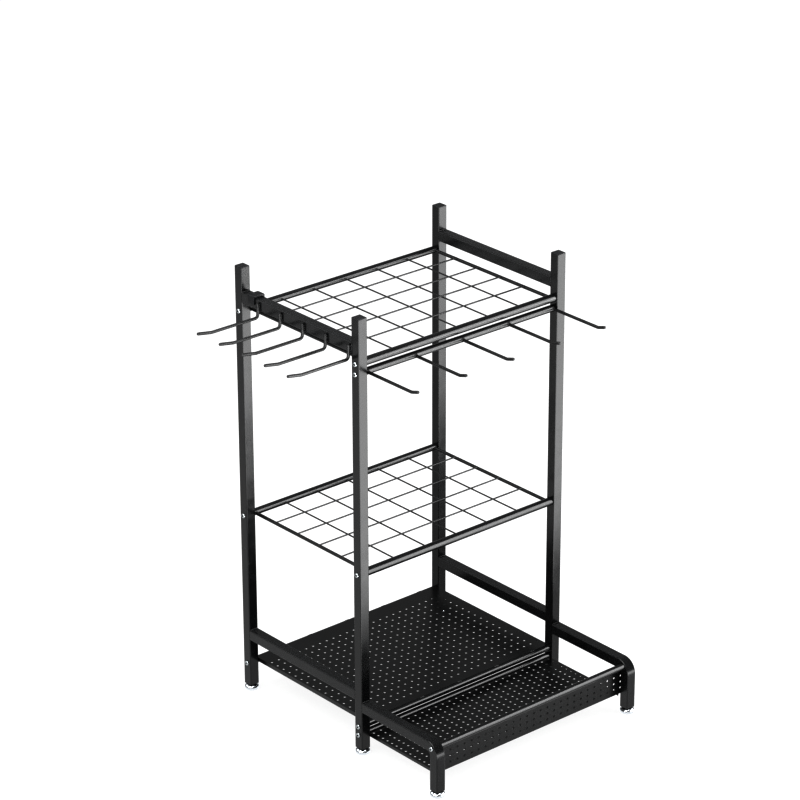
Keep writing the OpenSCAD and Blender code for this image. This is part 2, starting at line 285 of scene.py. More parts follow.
@dataclass(frozen=True)
class ChromePlate(Finish):
    """Decorative chrome on pressed and turned steel: a near mirror with soft hazy patches."""

    shade: str = "#c3c6c9"
    gloss: tuple[float, float] = (0.08, 0.17)
    haze: float = 9 * MM
    haze_detail: float = 3.0
    ripple: float = 1.6 * MM
    ripple_depth: float = 0.003 * MM

    def dress(self, tree: NodeTree, shader: Node, place: NodeSocket) -> None:
        """Keeps one bright colour and lets the haze dull the mirror here and there.

        Args:
            tree: the material's nodes.
            shader: the shader to set up.
            place: the object coordinates in metres.
        """
        shader.inputs["Base Color"].default_value = linear(self.shade)
        shader.inputs["Metallic"].default_value = 1.0
        self.dull(tree, shader, self.grain(tree, place, self.haze, self.haze_detail), self.gloss)
        self.roughen(tree, shader, self.grain(tree, place, self.ripple), self.ripple_depth)


@dataclass(frozen=True)
class StudioFloor(Finish):
    """A white sweep lit from within, so that shadows on it stay faint and its far end stays white."""

    shade: str = "#5c5c5c"
    roughness: float = 0.9
    glow_colour: str = "#ffffff"
    near_glow: float = 0.9
    far_glow: float = 0.985
    near: float = 0.3
    far: float = 5.0

    def dress(self, tree: NodeTree, shader: Node, place: NodeSocket) -> None:
        """Lets the glow rise with the distance, as the lamps' own light falls off.

        Args:
            tree: the material's nodes.
            shader: the shader to set up.
            place: the object coordinates in metres.
        """
        shader.inputs["Base Color"].default_value = linear(self.shade)
        shader.inputs["Roughness"].default_value = self.roughness
        shader.inputs["Specular IOR Level"].default_value = 0.0
        away = add_node(tree, "ShaderNodeVectorMath", {0: place}, operation="LENGTH").outputs["Value"]
        glow = add_node(tree, "ShaderNodeMapRange",
                        {"Value": away, "From Min": self.near, "From Max": self.far,
                         "To Min": self.near_glow, "To Max": self.far_glow}, interpolation_type="SMOOTHSTEP")
        shader.inputs["Emission Color"].default_value = linear(self.glow_colour)
        tree.links.new(glow.outputs["Result"], shader.inputs["Emission Strength"])


SQUARE_TUBE_COAT = PowderCoat("powder_coat_square_tube")
ROUND_TUBE_COAT = PowderCoat("powder_coat_round_tube", gloss=(0.18, 0.26), relief=2.0 * MM)
WIRE_COAT = PowderCoat("powder_coat_wire", gloss=(0.3, 0.38), relief=1.4 * MM, cloud=40 * MM)
SHEET_COAT = PowderCoat("powder_coat_sheet", gloss=(0.24, 0.34), relief=3.2 * MM, cloud=110 * MM)
WELD_COAT = PowderCoat("powder_coat_weld", gloss=(0.26, 0.4), relief=0.9 * MM, depth=0.05 * MM)
ZINC = ZincPlate("bright_zinc_plate")
# painted shade: the sockets' insides are darker zinc, which stands for the shade in the recess as well as
# some oil and dust
SOCKET_SHADE_ZINC = ZincPlate("socket_shade_and_oil_zinc", shades=("#3f4245", "#56595c"))
CHROME = ChromePlate("chrome_plate")
PLASTIC = MouldedPlastic("moulded_black_plastic")


class Rod:
    """A round bar pushed on from its open end: each method lengthens, bends or closes it."""

    def __init__(self, bm: BMesh, radius: float, at: Matrix, sides: int = 16,
                 closed_start: bool = True) -> None:
        """Starts the bar as a circle.

        Args:
            bm: the mesh that it goes into.
            radius: its radius in metres.
            at: the place of the circle, which is square to the matrix's Z.
            sides: how many sides the bar has.
            closed_start: whether the circle is filled.
        """
        self.bm = bm
        self.radius = radius
        circle = bmesh.ops.create_circle(bm, cap_ends=closed_start, radius=radius, segments=sides, matrix=at)
        verts = set(circle["verts"])
        self.loop = [e for e in {e for v in verts for e in v.link_edges} if set(e.verts) <= verts]

    def ends(self) -> list[BMVert]:
        """The corners of the open end."""
        return list({v for e in self.loop for v in e.verts})

    def middle(self) -> Vector:
        """The centre of the open end."""
        verts = self.ends()
        return sum((v.co for v in verts), Vector()) / len(verts)

    def push(self, step: Vector, factor: float = 1.0) -> "Rod":
        """Lengthens the bar by a step, and widens or narrows its new end.

        Args:
            step: how far the end moves.
            factor: the new end's size over the old one's.

        Returns:
            The bar itself.
        """
        made = bmesh.ops.extrude_edge_only(self.bm, edges=self.loop)["geom"]
        verts = [g for g in made if isinstance(g, BMVert)]
        inside = set(verts)
        self.loop = [g for g in made if isinstance(g, BMEdge) and set(g.verts) <= inside]
        centre = self.middle()
        grow = Matrix.Translation(centre + step) @ Matrix.Scale(factor, 4) @ Matrix.Translation(-centre)
        bmesh.ops.transform(self.bm, matrix=grow, verts=verts)
        self.radius *= factor
        return self

    def follow(self, along: Vector, outline: Iterable[tuple[float, float]]) -> None:
        """Pushes the bar through a turned outline.

        Args:
            along: the unit direction that the heights run in.
            outline: radius and height pairs, heights counted from where the end is now.
        """
        reached = 0.0
        for radius, height in outline:
            self.push(along * (height - reached), radius / self.radius)
            reached = height

    def bend(self, centre: Vector, axis: Vector, angle: float, steps: int) -> None:
        """Bends the bar round a point.

        Args:
            centre: the point that it turns about.
            axis: the direction of the bend's axis.
            angle: how far it turns, in radians.
            steps: how many straight steps make the bend.
        """
        made = bmesh.ops.spin(self.bm, geom=[*self.ends(), *self.loop], cent=centre, axis=axis, angle=angle,
                              steps=steps, use_merge=False, use_duplicate=False)["geom_last"]
        self.loop = [g for g in made if isinstance(g, BMEdge)]

    def dome(self, along: Vector, steps: int = 5, flat: float = 1.0) -> None:
        """Closes the bar with a rounded end.

        Args:
            along: the unit direction that the end points in.
            steps: how many rings it has.
            flat: its height over the bar's radius.
        """
        radius = self.radius
        angles = [math.pi / 2 * (i + 1) / steps for i in range(steps - 1)]
        self.follow(along, [(radius * math.cos(a), radius * flat * math.sin(a)) for a in angles])
        tip = self.push(along * radius * flat * (1 - math.sin(angles[-1])), 0.5)
        bmesh.ops.pointmerge(self.bm, verts=tip.ends(), merge_co=tip.middle())

    def cap(self) -> None:
        """Closes the bar with a flat end."""
        bmesh.ops.holes_fill(self.bm, edges=self.loop, sides=0)


def upright(place: Vector, along: Vector) -> Matrix:
    """A matrix at a place, with its Z along a direction."""
    return Matrix.Translation(place) @ along.to_track_quat("Z", "Y").to_matrix().to_4x4()


class Workpiece:
    """One mesh on the bench: shapes are added to it, then it becomes a named piece of the rack."""

    def __init__(self) -> None:
        """Starts with an empty mesh."""
        self.bm = bmesh.new()

    def rod(self, radius: float, place: Vector, along: Vector, sides: int = 16) -> Rod:
        """Starts a bar at a place, facing along a direction."""
        return Rod(self.bm, radius, upright(place, along), sides)

    def slab(self, low: Vector, high: Vector) -> list[BMVert]:
        """Adds a block between two corners and gives its corners."""
        fit = Matrix.Translation((low + high) / 2) @ Matrix.Diagonal((*(high - low), 1.0))
        return bmesh.ops.create_cube(self.bm, size=1.0, matrix=fit)["verts"]

    def soften(self, edges: Iterable[BMEdge], width: float, segments: int = 3) -> None:
        """Rounds edges by a width in metres."""
        bmesh.ops.bevel(self.bm, geom=list(edges), offset=width, offset_type="OFFSET", segments=segments,
                        profile=0.5, affect="EDGES", clamp_overlap=True, material=-1)

    def edges_of(self, verts: Iterable[BMVert], along: Vector) -> list[BMEdge]:
        """Picks out edges by their direction.

        Args:
            verts: the corners that the edges join.
            along: the unit direction that they run in.

        Returns:
            The edges found.
        """
        inside = set(verts)
        edges = {e for v in inside for e in v.link_edges if set(e.verts) <= inside}
        return [e for e in edges if abs((e.verts[0].co - e.verts[1].co).normalized().dot(along)) > 0.99]

    def bead(self, start: Vector, end: Vector, radius: float, ripple: float = 0.1,
             pitch: float = 1.3 * MM) -> None:
        """Lays a weld bead with rounded ends and the ripples of its puddles.

        Args:
            start: where it starts.
            end: where it stops.
            radius: its radius in metres.
            ripple: the share by which the radius rises and falls.
            pitch: the distance between ripples in metres.
        """
        run = end - start
        along = run.normalized()
        steps = max(6, 2 * round(run.length / pitch))
        narrowest = 0.45
        rod = self.rod(radius * narrowest, start, along, 8)
        outline = []
        for i in range(1, steps):
            share = i / steps
            # full along its run, and rounded off at both ends
            swell = (1 - abs(2 * share - 1) ** 6) ** 0.5
            # the place of a bead seeds its ripples, so that no two are alike
            wave = 1 + ripple * (-1) ** i + ripple * noise.noise(start * 900 + Vector((0, 0, i * 0.7)))
            outline.append((radius * max(narrowest, swell) * wave, run.length * share))
        rod.follow(along, outline)
        rod.dome(along, 3, 0.6)

    def blob(self, place: Vector, radii: Vector) -> None:
        """Adds a small round lump of weld with its own radii along X, Y and Z."""
        fit = Matrix.Translation(place) @ Matrix.Diagonal((*radii, 1.0))
        bmesh.ops.create_icosphere(self.bm, subdivisions=2, radius=1.0, matrix=fit)

    def stamp(self, template: Mesh, places: Iterable[Matrix]) -> None:
        """Adds copies of a mesh.

        Args:
            template: the mesh to copy.
            places: the place of each copy.
        """
        for place in places:
            known = len(self.bm.verts)
            self.bm.from_mesh(template)
            self.bm.verts.ensure_lookup_table()
            bmesh.ops.transform(self.bm, matrix=place, verts=self.bm.verts[known:])

    def mesh(self, name: str, crease: float = 35.0) -> Mesh:
        """Closes the work: merges its seams and turns its faces outwards.

        Args:
            name: the mesh's name.
            crease: the angle in degrees past which its edges stay sharp.

        Returns:
            The finished mesh.
        """
        bmesh.ops.remove_doubles(self.bm, verts=self.bm.verts, dist=0.002 * MM)
        bmesh.ops.recalc_face_normals(self.bm, faces=self.bm.faces)
        for face in self.bm.faces:
            face.smooth = True
        for edge in self.bm.edges:
            if len(edge.link_faces) == 2:
                edge.smooth = edge.calc_face_angle(0.0) < math.radians(crease)
        made = bpy.data.meshes.new(name)
        self.bm.to_mesh(made)
        self.bm.free()
        return made

    def piece(self, name: str, finish: Finish, body: str = "rack",
              replaces: Sequence[str] = (), crease: float = 35.0) -> Object:
        """Finishes the work as a piece that rides on a body.

        Args:
            name: the piece's name.
            finish: its finish.
            body: the body that it moves with.
            replaces: the nodes that it stands for.
            crease: the angle in degrees past which its edges stay sharp.

        Returns:
            The new object, at the origin with its place in its mesh.
        """
        made = bpy.data.objects.new(name, self.mesh(name, crease))
        made.data.materials.append(finish.material())
        bpy.context.scene.collection.objects.link(made)
        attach(made, body)
        if replaces:
            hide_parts(*replaces)
        LOG.info("%s: %d faces on %s", name, len(made.data.polygons), body)
        return made


def coat(nodes: Iterable[str], finish: Finish) -> None:
    """Gives CAD nodes their finish.

    Args:
        nodes: the nodes' names.
        finish: the finish that they get.
    """
    for name in nodes:
        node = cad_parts[name]
        if not node.material_slots:
            node.data.materials.append(finish.material())
        for slot in node.material_slots:
            slot.material = finish.material()
        LOG.info("%s: %s", name, finish.name)


def centre(node: str) -> Vector:
    """The middle of a node's box."""
    low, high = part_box(node)
    return (low + high) / 2


def evenly(first: float, last: float, count: int) -> list[float]:
    """A number of places from first to last, evenly apart."""
    return [first + (last - first) * i / (count - 1) for i in range(count)]


@dataclass
class SideFrames:
    """The two welded side frames of square tube, with their post caps and weld beads."""

    tube: float = 22 * MM
    corner: float = 2 * MM
    cap_top: float = 2 * MM
    cap_wall: float = 2 * MM
    cap_round: float = 1.1 * MM
    plug_inset: float = 1.3 * MM
    plug_sunk: float = 1.2 * MM
    bead_radius: float = 2.1 * MM
    flush_radius: float = 1.7 * MM
    flush_sunk: float = 1.36 * MM
    flush_ripple: float = 0.06
    corner_clear: float = 1.4 * MM
    ends: tuple[str, ...] = ("back", "front")

    def nodes(self) -> list[str]:
        """The names of the square tubes."""
        return [f"post_{side.word}_{end}" for side in Side for end in self.ends] + list(RAILS)

    def build(self) -> None:
        """Coats the tubes and makes the caps and the welds."""
        coat(self.nodes(), SQUARE_TUBE_COAT)
        for side in Side:
            for end in self.ends:
                self.cap(f"cap_{side.word}_{end}")
        self.welds()

    def cap(self, node: str) -> None:
        """Makes a pressed-in cap: a rounded plate over a hollow plug.

        Args:
            node: the node that it stands for.
        """
        low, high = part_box(node)
        work = Workpiece()
        plate = work.slab(Vector((low.x, low.y, high.z - self.cap_top)), high)
        work.soften(work.edges_of(plate, Z), self.corner, 4)
        rim = [e for e in work.bm.edges if all(v.co.z > high.z - NEAR for v in e.verts)]
        work.soften(rim, self.cap_round, 4)
        inset = Vector((self.plug_inset, self.plug_inset, 0))
        plug = work.slab(low + inset, high - inset - Z * self.plug_sunk)
        work.soften(work.edges_of(plug, Z), self.corner / 2, 2)
        floor = [f for f in work.bm.faces if f.normal.z < -0.9 and f.calc_center_median().z < low.z + NEAR]
        bmesh.ops.inset_region(work.bm, faces=floor, thickness=self.cap_wall)
        bore = bmesh.ops.extrude_face_region(work.bm, geom=floor)["geom"]
        lifted = [g for g in bore if isinstance(g, BMVert)]
        bmesh.ops.translate(work.bm, vec=Z * (high.z - low.z - 2 * self.cap_top), verts=lifted)
        bmesh.ops.delete(work.bm, geom=floor, context="FACES_ONLY")
        work.piece(f"{node}_moulding", PLASTIC, replaces=[node])

    def joint(self, work: Workpiece, place: Vector) -> None:
        """Welds a rail's end to a post all the way round.

        Args:
            work: the mesh that the beads go into.
            place: the middle of the rail's end, on the post's face.
        """
        half = self.tube / 2
        reach = half - self.corner_clear
        for sign in (-1, 1):
            work.bead(place + Vector((-reach, 0, sign * half)), place + Vector((reach, 0, sign * half)),
                      self.bead_radius)
            flush = sign * (half - self.flush_sunk)
            work.bead(place + Vector((flush, 0, -reach)), place + Vector((flush, 0, reach)),
                      self.flush_radius, self.flush_ripple)

    def welds(self) -> None:
        """Makes the beads of every rail and leg as one piece."""
        work = Workpiece()
        half = self.tube / 2
        for side in Side:
            for kind in ("top_rail", "base_rail"):
                low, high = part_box(f"{kind}_{side.word}")
                middle = (low + high) / 2
                self.joint(work, Vector((middle.x, low.y, middle.z)))
                self.joint(work, Vector((middle.x, high.y, middle.z)))
            low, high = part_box(f"leg_{side.word}")
            self.joint(work, Vector(((low.x + high.x) / 2, high.y, high.z - half)))
        work.piece("side_frame_welds", WELD_COAT, crease=50)


@dataclass
class CrossTubes:
    """The round tubes between the side frames, with the nuts in their ends."""

    names: tuple[str, ...] = (
        "upper_rear_tube", "upper_front_tube", "middle_rear_tube", "middle_front_tube", "hook_bar",
        "rear_tray_rear_tube", "rear_tray_front_tube", "front_tray_rear_tube", "fence_top_tube",
    )

    def build(self) -> None:
        """Coats the tubes and leaves the nuts in bare zinc."""
        coat(self.names, ROUND_TUBE_COAT)
        coat(["tube_end_nuts"], ZINC)


@dataclass
class WireGrids:
    """The two welded wire grids, with the lumps of weld where their wires meet."""

    levels: tuple[str, ...] = ("upper", "middle")
    wire_radius: float = 1.5 * MM
    rod_radius: float = 3.5 * MM
    long_count: int = 5
    cross_count: int = 4
    end_depth: float = 0.6 * MM
    end_lump: Vector = field(default_factory=lambda: Vector((1.1, 1.9, 0.5)) * MM)
    crossing_lump: Vector = field(default_factory=lambda: Vector((2.0, 2.0, 1.1)) * MM)
    side_depth: Vector = field(default_factory=lambda: Vector((0.4, 0.0, -0.5)) * MM)
    side_lump: Vector = field(default_factory=lambda: Vector((1.8, 2.2, 1.6)) * MM)

    def build(self) -> None:
        """Coats the wires and makes each grid's welds."""
        for level in self.levels:
            coat([f"{level}_{kind}" for kind in ("side_rods", "long_wires", "cross_wires")], WIRE_COAT)
            self.welds(level)

    def welds(self, level: str) -> None:
        """Makes the welds of one grid: at the wires' ends and at their crossings.

        Args:
            level: which grid, as its nodes spell it.
        """
        work = Workpiece()
        low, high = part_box(f"{level}_long_wires")
        cross_low, cross_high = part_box(f"{level}_cross_wires")
        rod_low, rod_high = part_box(f"{level}_side_rods")
        wire = self.wire_radius
        height, cross_height = (low.z + high.z) / 2, (cross_low.z + cross_high.z) / 2
        wire_xs = evenly(low.x + wire, high.x - wire, self.long_count)
        wire_ys = evenly(cross_low.y + wire, cross_high.y - wire, self.cross_count)
        rod_xs = [rod_low.x + self.rod_radius, rod_high.x - self.rod_radius]
        rods = [(x, wire) for x in wire_xs] + [(x, self.rod_radius) for x in rod_xs]
        for x, radius in rods:
            for y, inward in ((low.y, 1), (high.y, -1)):
                place = Vector((x, y + inward * self.end_depth, height))
                work.blob(place, Vector((radius, 0, radius)) + self.end_lump)
        for y in wire_ys:
            for x in wire_xs:
                work.blob(Vector((x, y, (height + cross_height) / 2)), self.crossing_lump)
            for x, inward in ((cross_low.x, 1), (cross_high.x, -1)):
                place = Vector((x + inward * self.side_depth.x, y, cross_height + self.side_depth.z))
                work.blob(place, self.side_lump)
        work.piece(f"{level}_grid_welds", WELD_COAT)


@dataclass
class Prongs:
    """What both rows of prongs share: drawn wires with rounded tips, welded on at their roots."""

    row: str
    count: int = 5
    radius: float = 3.1 * MM
    sides: int = 20
    bend_steps: int = 5

    def build(self) -> None:
        """Makes each prong, and the welds at their roots as one piece."""
        work = Workpiece()
        for number in range(1, self.count + 1):
            node = f"{self.row}_prong_{number}"
            self.prong(node)
            self.root_weld(work, node)
        work.piece(f"{self.row}_prong_welds", WELD_COAT, crease=50)

    def prong(self, node: str) -> None:
        """Makes one prong; each row has its own shape.

        Args:
            node: the node that the prong stands for.
        """
        raise NotImplementedError

    def root_weld(self, work: Workpiece, node: str) -> None:
        """Welds one prong on; each row has its own way.

        Args:
            work: the mesh that the weld goes into.
            node: the prong's node.
        """
        raise NotImplementedError


@dataclass
class FrontProngs(Prongs):
    """The five prongs on the hook bar, pressed up at the tip and welded on."""

    row: str = "front"
    bend_radius: float = 13 * MM
    tip_angle: float = math.radians(17)
    seat: float = 1.5 * MM
    fillet: float = 2.2 * MM
    fillet_stretch: float = 1.3

    def root(self, node: str) -> Vector:
        """Finds where a prong's centre line enters the hook bar.

        Args:
            node: the prong's node.

        Returns:
            The point.
        """
        low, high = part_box("hook_bar")
        bar = (low + high) / 2
        return Vector((centre(node).x, bar.y - (high.z - low.z) / 2, bar.z))

    def prong(self, node: str) -> None:
        """Makes one prong from its seat in the bar to its rounded tip.

        Args:
            node: the node that it stands for.
        """
        low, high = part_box(node)
        root = self.root(node)
        rise = high.z - root.z - self.radius
        tip_run = rise / math.tan(self.tip_angle)
        bend_y = low.y + self.radius + tip_run
        tangent = self.bend_radius * math.tan(self.tip_angle / 2)
        work = Workpiece()
        rod = work.rod(self.radius, root + Y * self.seat, -Y, self.sides)
        rod.push(Vector((0, bend_y + tangent - root.y - self.seat, 0)))
        pivot = Vector((root.x, bend_y + tangent, root.z + self.bend_radius))
        rod.bend(pivot, -X, self.tip_angle, self.bend_steps)
        along = Vector((0, -math.cos(self.tip_angle), math.sin(self.tip_angle)))
        rod.push(along * (rise / math.sin(self.tip_angle) - tangent))
        rod.dome(along)
        work.piece(f"{node}_wire", WIRE_COAT, replaces=[node])

    def root_weld(self, work: Workpiece, node: str) -> None:
        """Rings a prong's root with a hollow fillet.

        Args:
            work: the mesh that the fillet goes into.
            node: the prong's node.
        """
        start = self.root(node) + Y * self.seat
        outer = self.radius + self.fillet
        rod = work.rod(outer, start, -Y, self.sides)
        arc = [math.pi / 2 * i / self.bend_steps for i in range(1, self.bend_steps + 1)]
        outline = [(outer - self.fillet * math.sin(a),
                    self.seat + self.fillet * self.fillet_stretch * (1 - math.cos(a))) for a in arc]
        rod.follow(-Y, outline)
        rod.cap()


@dataclass
class SideProngs(Prongs):
    """The five prongs on the left top rail: wires welded up its face and bent out below it."""

    row: str = "side"
    drop: float = 25 * MM
    root_radius: float = 7 * MM
    bend_radius: float = 22 * MM
    tip_length: float = 33 * MM
    tip_angle: float = math.radians(10)
    burr: float = 0.5 * MM
    bead_radius: float = 1.7 * MM
    bead_ripple: float = 0.12
    bead_clear: float = 0.9 * MM
    bead_below: float = 2.5 * MM
    bead_above: float = 1.5 * MM

    def prong(self, node: str) -> None:
        """Makes one prong from its sheared top, down the rail and out to its tip.

        Args:
            node: the node that it stands for.
        """
        low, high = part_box(node)
        middle = centre(node)
        level = centre("top_rail_left").z - self.drop
        top = Vector((high.x - self.radius, middle.y, high.z))
        work = Workpiece()
        rod = work.rod(self.radius * 0.8, top, -Z, self.sides)
        rod.follow(-Z, [(self.radius, self.burr)])
        rod.push(Vector((0, 0, level + self.root_radius - top.z + self.burr)))
        rod.bend(Vector((top.x - self.root_radius, top.y, level + self.root_radius)), Y, math.pi / 2,
                 2 * self.bend_steps)
        tangent = self.bend_radius * math.tan(self.tip_angle / 2)
        bend_x = low.x + self.radius + self.tip_length * math.cos(self.tip_angle)
        start = rod.middle()
        rod.push(Vector((bend_x + tangent - start.x, 0, 0)))
        rod.bend(Vector((bend_x + tangent, top.y, level + self.bend_radius)), Y, self.tip_angle,
                 self.bend_steps)
        along = Vector((-math.cos(self.tip_angle), 0, math.sin(self.tip_angle)))
        rod.push(along * (self.tip_length - tangent))
        rod.dome(along)
        work.piece(f"{node}_wire", WIRE_COAT, replaces=[node])

    def root_weld(self, work: Workpiece, node: str) -> None:
        """Lays a bead down each side of a prong's root, against the rail.

        Args:
            work: the mesh that the beads go into.
            node: the prong's node.
        """
        low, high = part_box(node)
        rail_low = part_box("top_rail_left")[0]
        middle = (low.y + high.y) / 2
        for sign in (-1, 1):
            y = middle + sign * self.radius * 0.85
            x = rail_low.x - self.bead_clear
            work.bead(Vector((x, y, rail_low.z + self.bead_below)), Vector((x, y, high.z - self.bead_above)),
                      self.bead_radius, self.bead_ripple)


@dataclass
class RailSaddle:
    """The moulded saddle pushed over the left top rail."""

    clearance: float = 0.1 * MM
    outer_round: float = 3.2 * MM
    edge_round: float = 0.7 * MM
    sharp: float = math.radians(50)

    def build(self) -> None:
        """Makes the saddle as a rounded channel, open below."""
        low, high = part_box("rail_saddle")
        rail_low, rail_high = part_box("top_rail_left")
        inner = [rail_low.x - self.clearance, rail_high.x + self.clearance]
        roof = rail_high.z + self.clearance
        work = Workpiece()
        corners = [(low.x, low.z), (inner[0], low.z), (inner[0], roof), (inner[1], roof), (inner[1], low.z),
                   (high.x, low.z), (high.x, high.z), (low.x, high.z)]
        section = work.bm.faces.new([work.bm.verts.new((x, low.y, z)) for x, z in corners])
        pushed = bmesh.ops.extrude_face_region(work.bm, geom=[section])["geom"]
        ends = [g for g in pushed if isinstance(g, BMVert)]
        bmesh.ops.translate(work.bm, vec=Y * (high.y - low.y), verts=ends)
        shoulders = [e for e in work.edges_of(work.bm.verts, Y) if e.verts[0].co.z > high.z - NEAR]
        work.soften(shoulders, self.outer_round, 5)
        bmesh.ops.recalc_face_normals(work.bm, faces=work.bm.faces)
        sharp = [e for e in work.bm.edges if e.is_convex and e.calc_face_angle(0.0) > self.sharp]
        work.soften(sharp, self.edge_round, 3)
        work.piece("rail_saddle_moulding", PLASTIC, replaces=["rail_saddle"])


@dataclass
class Trays:
    """The perforated rear tray and the front bin, with the tacks that hold them to their tubes."""

    tack_length: float = 13 * MM
    tack_radius: float = 1.3 * MM
    tack_count: int = 5
    edge_gap: float = 45 * MM
    tray_seat: Vector = field(default_factory=lambda: Vector((0, 0.4, 0.2)) * MM)
    fence_seat: Vector = field(default_factory=lambda: Vector((0, 0.3, 0.1)) * MM)

    def build(self) -> None:
        """Coats the sheets and makes the tacks."""
        coat(SHEETS, SHEET_COAT)
        work = Workpiece()
        sheet_low, sheet_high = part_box("rear_tray_sheet")
        for name, inward in (("rear_tray_front_tube", -1), ("rear_tray_rear_tube", 1)):
            low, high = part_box(name)
            y = (low.y + high.y) / 2 + inward * self.tray_seat.y
            self.row(work, sheet_low, sheet_high, y, high.z + self.tray_seat.z)
        fence_low, fence_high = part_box("front_fence_sheet")
        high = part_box("fence_top_tube")[1]
        self.row(work, fence_low, fence_high, high.y + self.fence_seat.y, fence_high.z + self.fence_seat.z)
        work.piece("tray_tack_welds", WELD_COAT, crease=50)

    def row(self, work: Workpiece, low: Vector, high: Vector, y: float, z: float) -> None:
        """Lays a row of tacks across a sheet's edge.

        Args:
            work: the mesh that they go into.
            low: the lowest corner of the sheet's box.
            high: its highest corner.
            y: the row's place along Y.
            z: the row's height.
        """
        for x in evenly(low.x + self.edge_gap, high.x - self.edge_gap, self.tack_count):
            half = X * self.tack_length / 2
            place = Vector((x, y, z))
            work.bead(place - half, place + half, self.tack_radius)


@dataclass
class SocketBolts:
    """The button-headed socket bolts that hold each cross tube to the side frames."""

    shank: float = 3 * MM
    head: float = 5.3 * MM
    head_height: float = 3.1 * MM
    rim: float = 0.5 * MM
    flat: float = 3.0 * MM
    socket: float = 2.35 * MM
    socket_depth: float = 2.1 * MM
    mouth_sunk: float = 0.15 * MM
    drill_depth: float = 0.5 * MM
    under_round: float = 0.2 * MM
    tip_round: float = 0.4 * MM
    tip_height: float = 0.6 * MM
    length: float = 33 * MM
    sides: int = 24
    dome_steps: int = 6

    def outline(self) -> list[tuple[float, float]]:
        """Draws the head.

        Returns:
            Radius and height pairs, from under the head to the flat round its socket.
        """
        run, rise = self.head - self.flat, self.head_height - self.rim
        angles = [math.pi / 2 * i / self.dome_steps for i in range(1, self.dome_steps + 1)]
        dome = [(self.flat + run * math.cos(a), self.rim + rise * math.sin(a)) for a in angles]
        edge = [(self.head - self.under_round, 0.0), (self.head, self.under_round), (self.head, self.rim)]
        return [*edge, *dome]

    def template(self) -> Mesh:
        """Makes one bolt.

        Returns:
            Its mesh, along Z, with the underside of its head at zero.
        """
        work = Workpiece()
        rod = work.rod(self.shank - self.tip_round, -Z * self.length, Z, self.sides)
        rod.follow(Z, [(self.shank, self.tip_height), (self.shank, self.length)])
        rod.follow(Z, self.outline())
        top = Matrix.Translation(Z * (self.head_height - self.mouth_sunk))
        mouth = Rod(work.bm, self.socket, top, 6, False)
        bmesh.ops.bridge_loops(work.bm, edges=[*rod.loop, *mouth.loop])
        outside = set(work.bm.faces)
        mouth.push(-Z * self.socket_depth)
        mouth.push(-Z * self.drill_depth, 0.2)
        mouth.cap()
        # the socket's inside takes the second slot: darker zinc that paints the shade in the recess
        for face in set(work.bm.faces) - outside:
            face.material_index = 1
        return work.mesh("socket_bolt")

    def places(self) -> list[Matrix]:
        """Finds where the bolts go.

        Returns:
            A place for each, on the outer face of the post or leg at both ends of each cross tube.
        """
        left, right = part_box("post_left_front")[0].x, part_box("post_right_front")[1].x
        found = []
        for number, name in enumerate(CrossTubes().names):
            middle = centre(name)
            for x, out in ((left, -X), (right, X)):
                # each socket stopped at its own angle when the bolt was tightened
                turn = Matrix.Rotation(math.radians(37 * number + 11 * out.x), 4, "Z")
                found.append(upright(Vector((x, middle.y, middle.z)), out) @ turn)
        return found

    def build(self) -> None:
        """Makes all the bolts as one piece, as the record groups them."""
        work = Workpiece()
        work.stamp(self.template(), self.places())
        made = work.piece("socket_bolts", ZINC, replaces=["bolts"])
        # the second slot paints shade inside the sockets, with some oil
        made.data.materials.append(SOCKET_SHADE_ZINC.material())


